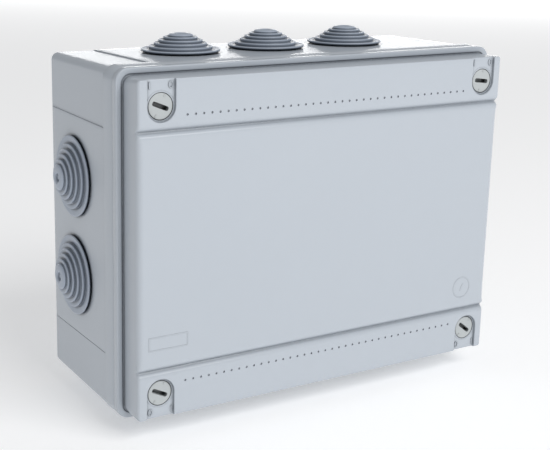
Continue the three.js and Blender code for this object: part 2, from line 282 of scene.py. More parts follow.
def border_numbers(index, fan):
    """Point numbers of a grid's border in the order of border_path, a corner `fan` times."""
    sides = [index[0, :], index[:, -1], index[-1, ::-1], index[::-1, 0]]
    return np.concatenate([np.concatenate([s[1:-1], np.full(fan, s[-1])]) for s in sides])


def slide(value, keep, edge, target):
    """Moves the last stretch of a line, from `keep` to `edge`, so that it ends at `target`."""
    size = np.abs(value)
    moved = keep + (size - keep) / (edge - keep) * (target - keep)
    return np.sign(value) * np.where(size <= keep, size, moved)


def outline(path, half_x, half_z, corner):
    """A rounded rectangle through the path's points: each point slides to the straight or to the
    corner's centre, and then goes out by the corner radius the way it faces."""
    edge_x, edge_z = np.abs(path["x"]).max(), np.abs(path["z"]).max()
    x = slide(path["x"], edge_x - KEEP, edge_x, half_x - corner) + corner * path["nx"]
    z = slide(path["z"], edge_z - KEEP, edge_z, half_z - corner) + corner * path["nz"]
    return x, z


def soften(profile, radii, steps=4):
    """Rounds the corners of an open profile: each inner corner becomes the curve
    (1-t)^2 A + 2t(1-t) P + t^2 B between the points `radius` before and after it."""
    profile = np.asarray(profile, float)
    radii = np.broadcast_to(np.asarray(radii, float), len(profile) - 2)[:, None]
    before, at, after = profile[:-2], profile[1:-1], profile[2:]
    back, ahead = before - at, after - at
    back_length = np.linalg.norm(back, axis=1, keepdims=True)
    ahead_length = np.linalg.norm(ahead, axis=1, keepdims=True)
    start = at + back / back_length * np.minimum(radii, 0.45 * back_length)
    end = at + ahead / ahead_length * np.minimum(radii, 0.45 * ahead_length)
    t = np.linspace(0, 1, steps + 1)[None, :, None]
    curve = (1 - t) ** 2 * start[:, None] + 2 * t * (1 - t) * at[:, None] + t ** 2 * end[:, None]
    return np.concatenate([profile[:1], curve.reshape(-1, profile.shape[1]), profile[-1:]])


def lathe(profile, segments, place):
    """A profile of (radius, out) turned once round; a radius of 0 becomes one pole point. `place`
    turns (across, out, up) arrays into x, y, z."""
    profile = np.asarray(profile, float)
    angle = np.linspace(0, 2 * np.pi, segments, endpoint=False)
    radius, out = profile[:, 0][:, None], profile[:, 1][:, None]
    skin = Skin()
    index = skin.add(*place(radius * np.cos(angle), out + 0 * angle, radius * np.sin(angle)))
    index = np.where(radius > 1e-6, index, index[:, :1])
    closed = np.concatenate([index, index[:, :1]], 1)
    skin.grid(closed)
    return skin.part()


def at_point(x, z):
    """Places a lathe along Y at x, z; out is y itself."""
    return lambda across, out, up: (x + across, out, z + up)


def slab(low, high, turn=0.0, centre=(0.0, 0.0), edge=0.25):
    """A block between two corners with its long edges rounded, turned in the X-Z plane about
    `centre`. The section in X-Z is a rounded rectangle, carried from one end in Y to the other."""
    x_lines = np.linspace(low[0], high[0], 3)
    z_lines = np.linspace(low[2], high[2], 3)
    half_x, half_z = (high[0] - low[0]) / 2, (high[2] - low[2]) / 2
    middle_x, middle_z = (high[0] + low[0]) / 2, (high[2] + low[2]) / 2
    path = border_path(x_lines - middle_x, z_lines - middle_z, 4)
    rise = [(low[1], edge), (low[1] + edge * 0.3, edge * 0.3), (low[1] + edge, 0),
            (high[1] - edge, 0), (high[1] - edge * 0.3, edge * 0.3), (high[1], edge)]
    angle = math.radians(turn)
    skin = Skin()
    rings = []
    for y, inset in rise:
        x = path["x"] / half_x * (half_x - inset - edge) + edge * path["nx"] + middle_x
        z = path["z"] / half_z * (half_z - inset - edge) + edge * path["nz"] + middle_z
        x, z = turned(x, z, angle, centre)
        rings.append(skin.add(x, y, z))
    skin.tube(rings)
    return skin.part()


def ridge(points, width, height, base_y, closed):
    """A thin raised line on the lid's face: a low rounded section carried along a path in X-Z."""
    points = np.asarray(points, float)
    ahead = np.roll(points, -1, 0) - points
    behind = points - np.roll(points, 1, 0)
    if not closed:
        ahead[-1], behind[0] = behind[-1], ahead[0]
    ahead /= np.linalg.norm(ahead, axis=1, keepdims=True)
    behind /= np.linalg.norm(behind, axis=1, keepdims=True)
    along = ahead + behind
    along /= np.linalg.norm(along, axis=1, keepdims=True)
    mitre = 1 / np.maximum((along * ahead).sum(1, keepdims=True), 0.4)
    side = np.stack([-along[:, 1], along[:, 0]], 1) * mitre
    section = np.array([[-0.5, 0.15], [-0.5, -0.5], [-0.25, -1.0], [0.25, -1.0], [0.5, -0.5], [0.5, 0.15]])
    x = points[:, :1] + side[:, :1] * section[:, 0] * width
    z = points[:, 1:] + side[:, 1:] * section[:, 0] * width
    skin = Skin()
    index = skin.add(x, base_y + height * section[:, 1], z)
    index = np.concatenate([index, index[:, :1]], 1)
    if closed:
        skin.grid(np.concatenate([index, index[:1]], 0))
    else:
        skin.grid(index)
        skin.cap(index[0, :-1])
        skin.cap(index[-1, :-1])
    return skin.part()


# ---------------------------------------------------------------- the lid's face

# distances of grid lines from a lock's axis, a dot's centre and a groove's middle
BAY_LINES = [5.8, 6.06, 6.16, 6.21, 6.26, 6.33, 6.45, 6.8]
LOCK_LINES = np.concatenate([np.linspace(0, LOCK_HOLE, 8), BAY_LINES])
DOT_LINES = [0, 0.24, 0.4, 0.5, DOT_REACH]
GROOVE_LINES = [0, 0.25, 0.6, 1.0, 1.4, 1.8, 2.3, 2.8]
GROOVE_DEPTHS = [1.7, 1.62, 1.22, 0.78, 0.4, 0.16, 0.04, 0]  # at the groove's lines


def face_lines():
    """Grid lines of the lid's face: the fine set, and the coarse set without the dots' lines."""
    dots_x = (np.arange(DOT_COUNT) - (DOT_COUNT - 1) / 2) * DOT_PITCH
    dot_x = (dots_x[:, None] + mirrored(DOT_LINES)[None, :]).ravel()
    lock_x, lock_z = around(LOCK_X, LOCK_LINES), around(LOCK_Z, LOCK_LINES)
    lock_x = np.concatenate([lock_x[lock_x < EDGE_X - 0.05], [LOCK_X - 7.4, LOCK_X - BAY_REACH, EDGE_X]])
    lock_z = np.concatenate([lock_z[lock_z < EDGE_Z - 0.05], [LOCK_Z - 7.4, LOCK_Z - BAY_REACH, EDGE_Z]])
    groove_z = around(GROOVE_Z, GROOVE_LINES)
    panel_z = np.linspace(0, GROOVE_Z - 4, 7)
    coarse_x = merge_lines(mirrored(lock_x), np.linspace(-72, 72, 19), 0.5)
    coarse_z = merge_lines(mirrored(np.concatenate([lock_z, groove_z[groove_z < LOCK_Z - 8.3]])),
                           mirrored(panel_z), 0.15)
    fine_x = merge_lines(coarse_x, dot_x, 0.0)
    fine_z = merge_lines(coarse_z, mirrored(around(DOT_Z, DOT_LINES)), 0.0)
    return fine_x, fine_z, coarse_x, coarse_z


def round_locks(x, z, hole, inner_end, outer_end):
    """Bends grid lines round the locks' holes; on the half of a bay towards the panel they stay
    round as far as the bay's wall, and on the half towards the edge only as far as the hole."""
    for side, level, _ in LOCKS.values():
        u, v = x - side * LOCK_X, z - level * LOCK_Z
        near = np.maximum(np.abs(u), np.abs(v)) < inner_end[1] + 0.01
        inward = v * level < 0
        round_to = np.where(inward, inner_end[0], outer_end[0])
        flat_from = np.where(inward, inner_end[1], outer_end[1])
        new_u, new_v = to_circle(u, v, np.maximum(round_to, hole), flat_from)
        x = np.where(near, side * LOCK_X + new_u, x)
        z = np.where(near, level * LOCK_Z + new_v, z)
    return x, z


def nearest_dot(x):
    """Where along its row the dot nearest to x stands."""
    reach = (DOT_COUNT - 1) / 2 * DOT_PITCH
    return np.clip(np.round(x / DOT_PITCH) * DOT_PITCH, -reach, reach)


def face_depth(x, z):
    """How deep the lid's face lies at x, z: two rounded V grooves, the locks' bays and the dots."""
    from_groove = np.abs(np.abs(z) - GROOVE_Z)
    groove = np.interp(from_groove, GROOVE_LINES, GROOVE_DEPTHS)
    u, v = np.abs(x) - LOCK_X, np.abs(z) - LOCK_Z
    into_bay = np.where(v > 0, np.abs(u), np.hypot(u, v))
    bay = BAY_DEPTH * np.interp(into_bay, [6.06, 6.16, 6.21, 6.26, 6.33, 6.45], [1, 0.96, 0.8, 0.22, 0.05, 0])
    from_dot = np.hypot(x - nearest_dot(x), np.abs(z) - DOT_Z)
    dot = DOT_DEPTH * np.interp(from_dot, [0.24, 0.4, 0.5], [1, 0.85, 0])
    return np.maximum(np.maximum(groove, bay), dot)


def lock_cells(x_lines, z_lines):
    """Marks the grid cells inside the locks' holes. Gives each hole's block of the grid, and the
    angles of its border points about the lock, too."""
    holes, cells = [], np.zeros((len(z_lines) - 1, len(x_lines) - 1), bool)
    for side, level, _ in LOCKS.values():
        columns, rows = span(x_lines, side * LOCK_X, LOCK_HOLE), span(z_lines, level * LOCK_Z, LOCK_HOLE)
        cells[rows[0]:rows[1], columns[0]:columns[1]] = True
        u, v = np.meshgrid(x_lines - side * LOCK_X, z_lines - level * LOCK_Z)
        hole = block(rows, columns)
        holes.append((hole, ring_border(np.arctan2(v, u)[hole])))
    return cells, holes


def lid_skin():
    """The whole lid as one closed skin: the face as a height over a grid, the edge, the raised
    side, the rim, the gasket's channel and the skirt as rings round it, and the inside as a grid."""
    fan = 9
    fine_x, fine_z, coarse_x, coarse_z = face_lines()
    skin = Skin()

    # face
    x, z = np.meshgrid(fine_x, fine_z)
    x, z = round_locks(x, z, LOCK_HOLE, (6.5, BAY_REACH), (LOCK_HOLE, 6.0))
    x, z = bend_about(x, z, nearest_dot(x), np.sign(z) * DOT_Z, DOT_ROUND, DOT_REACH)
    face = skin.add(x, FACE_Y + face_depth(x, z), z)
    cells, face_holes = lock_cells(fine_x, fine_z)
    skin.grid(face, cells)

    # rounded edge, tightest at top and bottom and widest on the centre panel's two sides
    path = border_path(fine_x, fine_z, fan)
    depth = face_depth(path["x"], path["z"])
    on_panel = (np.abs(path["nx"]) > 0.99) * np.clip((GROOVE_Z - 1.5 - np.abs(path["z"])) / 3, 0, 1)
    on_top = path["nz"] ** 2
    radius = BAND_ROUND + (PANEL_ROUND - BAND_ROUND) * on_panel + (TOP_ROUND - BAND_ROUND) * on_top
    last = border_numbers(face, fan)
    for turn in np.radians([0, 14, 28, 42, 56, 70, 82, 90]):
        inset = radius * (1 - np.sin(turn))
        last = skin.step(last, *ring_at(path, -inset, FACE_Y + depth + radius * (1 - np.cos(turn)),
                                        max(1.4 - inset.min() * 0.7, 0.35)))

    # from the fine rings to the coarse ones
    wide = border_path(coarse_x, coarse_z, fan)
    nearest = np.abs(path["along"][:, None] - wide["along"][None, :]).argmin(1)
    ring = skin.add(*ring_at(wide, 0, -77.0, 1.7))
    skin.quads(last, np.roll(last, -1), ring[np.roll(nearest, -1)], ring[nearest])
    last = ring
    for reach, y, corner in lid_profile():
        last = skin.step(last, *ring_at(wide, reach, y, corner))

    # inside of the plate, with a boss round each lock
    back_x = widen(coarse_x, LOCK_X, EDGE_X, FACE_X - 2.45)
    back_z = widen(coarse_z, LOCK_Z, EDGE_Z, FACE_Z - 2.45)
    x, z = np.meshgrid(back_x, back_z)
    x, z = round_locks(x, z, BOSS_RADIUS, (BOSS_RADIUS, 7.85), (BOSS_RADIUS, 7.85))
    inside = skin.add(x, PLATE_BACK, z)
    cells, back_holes = lock_cells(coarse_x, coarse_z)
    skin.grid(inside, cells)
    skin.bridge(last, border_numbers(inside, fan))

    # stepped holes of the locks, between the two
    top = FACE_Y + BAY_DEPTH
    for (side, level, _), (hole, fine), (back_hole, coarse) in zip(LOCKS.values(), face_holes, back_holes):
        centre = (side * LOCK_X, level * LOCK_Z)
        ring = circle_ring(skin, centre, LOCK_HOLE + FLARE, top + 0.3, fine)
        skin.bridge(ring_border(face[hole]), ring)
        gap = np.abs(np.angle(np.exp(1j * (fine[:, None] - coarse[None, :]))))
        nearest = gap.argmin(1)
        last = circle_ring(skin, centre, LOCK_HOLE + ROOM, top + 1.2, coarse)
        skin.quads(ring, np.roll(ring, -1), last[np.roll(nearest, -1)], last[nearest])
        for radius, y in [(LOCK_HOLE + ROOM, SEAL_SEAT), (SHAFT_HOLE, SEAL_SEAT), (SHAFT_HOLE, BOSS_BACK),
                          (BOSS_RADIUS - 0.3, BOSS_BACK), (BOSS_RADIUS, BOSS_BACK - 0.3),
                          (BOSS_RADIUS, PLATE_BACK + 0.3)]:
            ring = circle_ring(skin, centre, radius, y, coarse)
            skin.bridge(last, ring)
            last = ring
        skin.bridge(last, ring_border(inside[back_hole]))
    return skin.part()


def circle_ring(skin, centre, radius, y, angle):
    """A ring about a centre in the X-Z plane, at the given angles."""
    return skin.add(centre[0] + radius * np.cos(angle), y, centre[1] + radius * np.sin(angle))


def ring_at(path, reach, y, corner):
    """A ring round the lid, `reach` outside its raised part, at depth y."""
    x, z = outline(path, FACE_X + reach, FACE_Z + reach, corner)
    return x, y, z


def widen(lines, lock, edge, target):
    """Moves the coarse lines near a lock so that its hole's lines stand round the boss."""
    size = np.abs(lines)
    moved = np.interp(size, [lock - BAY_REACH, lock - LOCK_HOLE, lock, lock + LOCK_HOLE, edge],
                      [lock - 9.5, lock - BOSS_RADIUS, lock, lock + BOSS_RADIUS, target])
    return np.sign(lines) * np.where(size < lock - BAY_REACH, np.minimum(size, lock - 9.6), moved)


def lid_profile():
    """Rings of the lid behind its rounded edge: reach outside the raised part, depth and corner
    radius. The side's corner grows to the root; a fine groove parts it from the rim's flat strip."""
    return [
        (0, -74.5, 2.0), (0, -71.5, 2.7), (0, -69.4, 3.3), (0, -68.3, 3.6),
        (0.06, -68.22, 3.65), (0.2, -68.12, 3.7), (0.5, -68.12, 3.8), (0.7, -68.22, 3.9),
        (0.78, -68.38, 3.95), (0.86, -68.47, 4.0), (1.0, -68.5, 4.1), (2.45, -68.5, 5.1),
        (2.7, -68.46, 5.2), (2.88, -68.36, 5.3), (3.0, -68.2, 5.4), (3.08, -67.95, 5.5),
        (3.1, -67.7, 5.5), (3.1, -65.6, 5.5), (3.04, -65.4, 5.45), (2.9, -65.3, 5.35),
        (2.42, -65.3, 5.0), (2.38, -65.4, 5.0), (2.38, -66.9, 5.0), (0.22, -66.9, 3.5), (0.22, -65.4, 3.5),
        (0.15, -65.3, 3.4), (-0.7, -65.3, 2.8), (-0.8, -65.2, 2.7), (-0.8, -62.1, 2.7), (-0.95, -61.85, 2.6),
        (-1.2, SKIRT_END, 2.4), (-2.1, SKIRT_END, 1.2), (-2.3, -61.9, 1.0), (-2.4, -62.1, 0.9),
        (-2.4, -66.0, 0.9), (-2.2, -66.3, 1.0), (-2.2, PLATE_BACK - 0.2, 0.7),
        (-2.27, PLATE_BACK - 0.06, 0.5),
    ]


def oval(x, z, half_x, half_z, angle):
    """Points at the given angles round an oval about x, z."""
    return np.stack([x + half_x * np.cos(angle), z + half_z * np.sin(angle)], 1)


def lid_marks():
    """Small raised marks on the face: a stroke, a nought and an arc at each lock, a blank frame,
    and a ring with one stroke in it. Each is a ridge of its own width and height."""
    parts = []
    turn = np.linspace(0, 2 * np.pi, 28, endpoint=False)
    y = FACE_Y + BAY_DEPTH
    for side, level, _ in LOCKS.values():
        x, z = side * LOCK_X, level * LOCK_Z
        stroke_x, nought_x, up = (-4.9, 4.4, 8.25) if level > 0 else (5.2, -4.4, -7.8)
        stroke = [(x + stroke_x, z + up - 1.3), (x + stroke_x, z + up + 1.3)]
        parts.append(ridge(stroke, 0.6, 0.3, y, False))
        parts.append(ridge(oval(x + nought_x, z + up, 0.85, 1.3, turn), 0.45, 0.3, y, True))
        arc = np.radians(np.linspace(25, 155, 24) * level)
        parts.append(ridge(oval(x, z, 6.1, 6.1, arc), 0.25, 0.08, y, False))
    left, right, low, high = -87.0, -69.4, -40.0, -34.5
    parts.append(ridge([(left, low), (right, low), (right, high), (left, high)], 0.4, 0.1, FACE_Y, True))
    parts.append(ridge(oval(77.2, -38.1, 4.9, 4.9, turn), 0.4, 0.1, FACE_Y, True))
    parts.append(ridge([(76.6, -39.6), (77.9, -36.4)], 0.5, 0.1, FACE_Y, False))
    return parts


# ---------------------------------------------------------------- back box

GLAND_LINES = np.concatenate([np.linspace(0, GLAND_HOLE, 9), [15.2, GLAND_REACH]])
BOX_FAN = 9


def wall_half(front, y):
    """Half size of the box at depth y: it leans in by TAPER between the collar and the back."""
    return front - TAPER * (1 - y / COLLAR_BACK)


def box_lines():
    """Grid lines of the back box in X and in Z, shared by its walls and its back plate."""
    holes = np.array([0, 1.3, FIXING_HOLE, 4.4])
    top = np.concatenate([around(i * GLAND_PITCH, GLAND_LINES) for i in (-1, 0, 1)])
    x = np.concatenate([top, mirrored(around(FIXING_X, holes)),
                        mirrored([*(TOP_PANEL + STEP), 80, 86, 88.2, 88.9])])
    side = np.concatenate([around(i * GLAND_PITCH, GLAND_LINES) for i in (-0.5, 0.5)])
    z = np.concatenate([side, mirrored(around(FIXING_Z, holes)),
                        mirrored([*(SIDE_PANEL + STEP), 58, 64, 66.0, 66.7])])
    return np.unique(np.round(x, 4)), np.unique(np.round(z, 4))


def on_wall(path, y, inset, corner):
    """Points of the box's wall for a path (along) and depths (across): squares about the glands
    become circles, the panels stand proud by PANEL_RAISE with their edges as in STEP_RISE and
    STEP_GROOVE, and all of it lies `inset` further in; an inner wall has no panels."""
    x, z = path["x"][None, :] + 0 * y[:, None], path["z"][None, :] + 0 * y[:, None]
    depth = y[:, None] + 0 * x
    flat_z, flat_x = np.abs(path["nz"]) > 0.999, np.abs(path["nx"]) > 0.999
    for i in (-1, 0, 1):
        x, depth = bend_about(x, depth, i * GLAND_PITCH, GLAND_Y, GLAND_HOLE, GLAND_REACH, flat_z)
    for i in (-0.5, 0.5):
        z, depth = bend_about(z, depth, i * GLAND_PITCH, GLAND_Y, GLAND_HOLE, GLAND_REACH, flat_x)
    top_rise = np.interp(np.abs(path["x"]), TOP_PANEL + STEP, STEP_RISE)
    side_rise = np.where(path["z"] > 0, np.interp(path["z"], SIDE_PANEL + STEP, STEP_RISE),
                         np.interp(-path["z"], SIDE_PANEL + STEP, STEP_GROOVE))
    raised = PANEL_RAISE * np.where(flat_z, top_rise, side_rise * flat_x)
    ends = np.interp(depth, [COLLAR_BACK, COLLAR_BACK + 0.6, -2.4, -1.2], [1, 1, 1, 0])
    proud = raised * ends if inset == 0 else 0
    edge_x, edge_z = np.abs(path["x"]).max(), np.abs(path["z"]).max()
    half_x, half_z = wall_half(WALL_X, depth) - inset, wall_half(WALL_Z, depth) - inset
    px = slide(x, edge_x - KEEP, edge_x, half_x - corner) + (corner + proud) * path["nx"]
    pz = slide(z, edge_z - KEEP, edge_z, half_z - corner) + (corner + proud) * path["nz"]
    return px, depth, pz


def gland_columns(path):
    """For each gland, the path's columns between its outermost lines."""
    blocks = []
    for axis, normal, centres in (("x", "nz", (-1, 0, 1)), ("z", "nx", (-0.5, 0.5))):
        for sign in (-1, 1):
            on_side = np.abs(path[normal] - sign) < 1e-6
            for centre in centres:
                inside = on_side & (np.abs(path[axis] - centre * GLAND_PITCH) < GLAND_HOLE + 1e-3)
                columns = np.flatnonzero(inside)
                blocks.append((columns.min(), columns.max()))
    return blocks


def box_skin():
    """The back box as one closed skin: back plate, bevel, outer walls, collar, inner walls, floor."""
    x_lines, z_lines = box_lines()
    path = border_path(x_lines, z_lines, BOX_FAN)
    skin = Skin()
    y_lines = np.concatenate([[COLLAR_BACK + 0.5, -53, -49, -45.5],
                              GLAND_Y + mirrored(GLAND_LINES), [-4.2, -2.4, -1.6, -BACK_BEVEL]])
    rows = span(y_lines, GLAND_Y, GLAND_HOLE)
    outer = skin.add(*on_wall(path, y_lines, 0, BOX_CORNER))
    inner_y = y_lines.copy()
    inner_y[-4:] = [-4.2, -3.6, -3.0, -BACK_PLATE]
    inner = skin.add(*on_wall(path, inner_y, WALL, BOX_CORNER - WALL))
    cells = np.zeros((len(y_lines) - 1, len(path["x"])), bool)
    for first, last in gland_columns(path):
        cells[rows[0]:rows[1], first:last] = True
        hole = block(rows, (first, last))
        skin.bridge(ring_border(outer[hole]), ring_border(inner[hole]))
    for wall in (outer, inner):
        skin.grid(np.concatenate([wall, wall[:, :1]], 1), cells)

    # collar, from the wall forward and round to the inside
    last = outer[0]
    for reach, y, corner in [
            (-0.97, -56.9, 5.1), (-0.7, -56.8, 5.2), (-0.25, -56.8, 5.4), (-0.05, -57.0, 5.5),
            (0, -57.3, 5.5), (-0.32, -64.7, 5.4), (-0.4, -64.93, 5.3), (-0.55, COLLAR_FRONT, 5.2),
            (-2.9, COLLAR_FRONT, 3.3), (-3.1, -64.93, 3.1), (-3.22, -64.6, 3.0)]:
        x, z = outline(path, RIM_X + reach, RIM_Z + reach, corner)
        last = skin.step(last, x, y, z)
    skin.bridge(last, inner[0])

    # back plate and floor, with the fixing holes through both
    half_x, half_z = wall_half(WALL_X, 0), wall_half(WALL_Z, 0)
    x, z = outline(path, half_x - BACK_BEVEL * 0.5, half_z - BACK_BEVEL * 0.5, BOX_CORNER - 0.6)
    bevel = skin.step(outer[-1], x, -BACK_BEVEL * 0.3, z)
    x, z = outline(path, half_x - BACK_BEVEL, half_z - BACK_BEVEL, BOX_CORNER - BACK_BEVEL)
    back = skin.step(bevel, x, 0.0, z)
    rings = []
    for ring, y in ((back, 0.0), (inner[-1], -BACK_PLATE)):
        x, z = np.meshgrid(x_lines, z_lines)
        open_cells = np.zeros((len(z_lines) - 1, len(x_lines) - 1), bool)
        holes = []
        for centre_x, centre_z in [(sx * FIXING_X, sz * FIXING_Z) for sx in (-1, 1) for sz in (-1, 1)]:
            x, z = bend_about(x, z, centre_x, centre_z, FIXING_HOLE, FIXING_REACH)
            columns, rows = span(x_lines, centre_x, FIXING_HOLE), span(z_lines, centre_z, FIXING_HOLE)
            open_cells[rows[0]:rows[1], columns[0]:columns[1]] = True
            holes.append(block(rows, columns))
        plate = skin.add(x, y, z)
        skin.grid(plate, open_cells)
        skin.bridge(ring, border_numbers(plate, BOX_FAN))
        rings.append([ring_border(plate[hole]) for hole in holes])
    for a, b in zip(*rings):
        skin.bridge(a, b)
    return skin.part()


def post_part(side, level):
    """A lock's post: a bored cylinder whose front ledge has a bow-tie opening. The opening's edge
    is a radius that changes with the angle, so the inner rings are not round."""
    angle = np.linspace(0, 2 * np.pi, 72, endpoint=False)
    below = np.degrees(-angle) % 180
    inside = np.minimum(np.abs((below - 22 + 90) % 180 - 90), 90)
    opening = np.interp(inside, [38, 46], [5.15, 3.5])
    skin = Skin()
    skin.tube([circle_ring(skin, (side * LOCK_X, level * LOCK_Z), radius, y, angle) for radius, y in [
        (7.6, -2.3), (7.6, -64.2), (7.3, -64.5), (opening + 0.2, -64.5), (opening, -64.3), (opening, -62.0),
        (5.2, -62.0), (5.2, -6.0)]])
    return skin.part()


def box_fittings():
    """Posts with their ribs, the bosses over the wall screws, and the pillars."""
    parts = []
    wall_x, wall_z = wall_half(WALL_X, -2.5) - 1.2, wall_half(WALL_Z, -2.5) - 1.2
    for side, level, _ in LOCKS.values():
        x, z = side * LOCK_X, level * LOCK_Z
        parts.append(post_part(side, level))
        reach_x = sorted([x + side * 6.6, side * wall_x])
        reach_z = sorted([z + level * 6.6, level * wall_z])
        parts.append(slab((reach_x[0], -61, z - 1.5), (reach_x[1], -2.2, z + 1.5)))
        parts.append(slab((x - 1.5, -61, reach_z[0]), (x + 1.5, -2.2, reach_z[1])))
        boss = [(2.6, -2.3), (2.6, -4.1), (5.5, -4.1), (5.5, -8.4), (5.7, -8.5), (7.7, -8.5), (8, -8.2),
                (8, -2.3), (2.6, -2.3)]
        parts.append(lathe(boss, 40, at_point(side * FIXING_X, level * FIXING_Z)))
        pillar = [(0, -5.5), (1.6, -5.5), (1.6, -14.3), (1.8, -14.5), (3.7, -14.5), (4, -14.2), (4, -2.3),
                  (0, -2.3)]
        parts.append(lathe(pillar, 32, at_point(side * PILLAR_X, level * PILLAR_Z)))
    return parts


# ---------------------------------------------------------------- cable membranes


def membrane_profile():
    """Half section of a membrane from the tip over the steps to the flange, round the wall's edge
    to the lip inside and back to the axis, with rounded corners."""
    outside = [(0, 7.3), (0.8, 7.3), (1.15, 7.0), (1.5, 7.0), (1.9, 7.75), (2.8, 8.1), (4.6, 7.85),
               (5.3, 7.55), (5.55, 7.2), (5.4, 6.75), (5.55, 6.45), (6.1, 6.6), (7.2, 6.75),
               (7.55, 6.5), (7.4, 5.9), (7.2, 5.45), (7.45, 5.15), (8.0, 5.35), (9.3, 5.5),
               (9.65, 5.25), (9.5, 4.6), (9.3, 4.15), (9.55, 3.85), (10.1, 4.05), (11.3, 4.2),
               (11.65, 3.95), (11.5, 3.3), (11.3, 2.8), (11.55, 2.5), (12.1, 2.65), (13.5, 2.8),
               (13.85, 2.55), (13.7, 1.9), (13.5, 1.35), (13.75, 1.1), (14.4, 1.3), (16.9, 1.6),
               (17.3, 1.35), (17.2, 0.95), (16.4, 0.25)]
    inside = [(13.3, 0.25), (13.3, -3.1), (15, -3.1), (14, -4.5), (11.6, -4.5),
              (11.6, 0.2), (9, 1.6), (7.1, 3.2), (5, 5.1), (0, 6.1)]
    return soften(outside + inside, 0.22)


def membrane_places():
    """Name, centre on the wall and outward direction of every membrane."""
    lean = math.atan(TAPER / -COLLAR_BACK)
    places = []
    top = wall_half(WALL_Z, GLAND_Y) + PANEL_RAISE
    side = wall_half(WALL_X, GLAND_Y) + PANEL_RAISE
    for i in range(3):
        x = (i - 1) * GLAND_PITCH
        for name, sign in (("top", 1), ("bottom", -1)):
            out = (0, math.sin(lean), sign * math.cos(lean))
            places.append((f"cable_membrane_{name}_{i + 1}", (x, GLAND_Y, sign * top), out))
    for i in range(2):
        z = (0.5 - i) * GLAND_PITCH
        for name, sign in (("left", -1), ("right", 1)):
            out = (sign * math.cos(lean), math.sin(lean), 0)
            places.append((f"cable_membrane_{name}_{i + 1}", (sign * side, GLAND_Y, z), out))
    return places


def facing_out(centre, direction):
    """Places a lathe on a wall: its axis along `direction`, its foot at `centre`."""
    turn = np.array(Vector((0, 1, 0)).rotation_difference(Vector(direction)).to_matrix())

    def place(across, out, up):
        local = np.stack(np.broadcast_arrays(across, out, up), -1)
        moved = local @ turn.T + np.array(centre)
        return moved[..., 0], moved[..., 1], moved[..., 2]

    return place


# ---------------------------------------------------------------- locks


def lock_head(slot_angle, centre):
    """The slotted head and its shaft as one closed skin, with a raised tick and a pip on it. The
    head's top is a grid whose middle sinks into a slot with round ends; its squares stay square
    inside `flat_to` and become circles at `rim`."""
    straight, end_reach = 2.8, 1.1  # half length of the slot's straight part; its ends are bent to here
    flat_to, rim = 2.9, 5.1
    lines_u = mirrored([0, 1.4, straight, 3.1, 3.4, 3.6, 3.66, 3.7, 3.76, 3.9, 4.3, 4.7, 4.95, rim])
    lines_v = mirrored([0, 0.3, 0.6, 0.8, 0.86, 0.9, 0.96, end_reach, 1.9, 2.9, 3.9, 4.6, 4.95, rim])
    u, v = np.meshgrid(lines_u, lines_v)
    m = np.maximum(np.abs(u), np.abs(v))
    past = np.maximum(np.abs(u) - straight, 0)
    end_u, end_v = to_circle(past, v, 1.0, end_reach)
    round_u = np.where(past > 0, np.sign(u) * (straight + end_u), u)
    round_v = np.where((past > 0) & (np.maximum(past, np.abs(v)) < end_reach), end_v, v)
    from_slot = np.hypot(np.maximum(np.abs(round_u) - straight, 0), round_v)
    slot = SLOT_DEPTH * np.interp(from_slot, [0.8, 0.86, 0.9, 0.96], [1, 0.96, 0.12, 0])
    r = np.maximum(np.hypot(round_u, round_v), 1e-9)
    weight = np.clip((m - flat_to) / (rim - flat_to), 0, 1)
    factor = np.where(m > 1e-9, np.maximum(m, 1e-9) / r, 1.0) ** weight
    angle = math.radians(slot_angle)

    skin = Skin()
    x, z = turned(round_u * factor, round_v * factor, angle, centre)
    top = FACE_Y + BAY_DEPTH
    head = skin.add(x, top + slot, z)
    skin.grid(head)
    border = ring_border(np.arctan2(v, u))
    last = ring_border(head)
    for inset, y in [(0.1, top + 0.03), (0.02, top + 0.12), (0, top + 0.3), (0, top + 2.8), (0.2, top + 3),
                     (2.3, top + 3), (2.3, -59.4), (2.5, -59.2)]:
        radius = HEAD_RADIUS - inset
        x, z = turned(radius * np.cos(border), radius * np.sin(border), angle, centre)
        last = skin.step(last, x, y, z)
    skin.cap(last)
    tick_ends = turned(np.array([-0.6, -0.7]), np.array([-3.7, -4.95]), angle, centre)
    tick = ridge(np.stack(tick_ends, 1), 0.4, 0.12, top, False)
    pip = lathe([(0, top + 0.2), (0.45, top + 0.2), (0.42, top - 0.06), (0.3, top - 0.1), (0, top - 0.1)], 16,
                at_point(*turned(0.1, 4.3, angle, centre)))
    return [skin.part(), tick, pip]


# ---------------------------------------------------------------- material groups


def node_group(name, inputs, outputs):
    """An empty shader group with float or colour sockets: (name, kind, value)."""
    group = bpy.data.node_groups.new(name, "ShaderNodeTree")
    for label, kind, value in inputs:
        socket = group.interface.new_socket(name=label, in_out="INPUT", socket_type=kind)
        socket.default_value = value
    for label, kind in outputs:
        group.interface.new_socket(name=label, in_out="OUTPUT", socket_type=kind)
    return group, group.nodes.new("NodeGroupInput"), group.nodes.new("NodeGroupOutput")


def maths(tree, operation, a, b):
    """A maths node; a and b are sockets or numbers."""
    node = tree.nodes.new("ShaderNodeMath")
    node.operation = operation
    for socket, value in zip(node.inputs, (a, b)):
        if isinstance(value, (int, float)):
            socket.default_value = value
        else:
            tree.links.new(value, socket)
    return node.outputs[0]


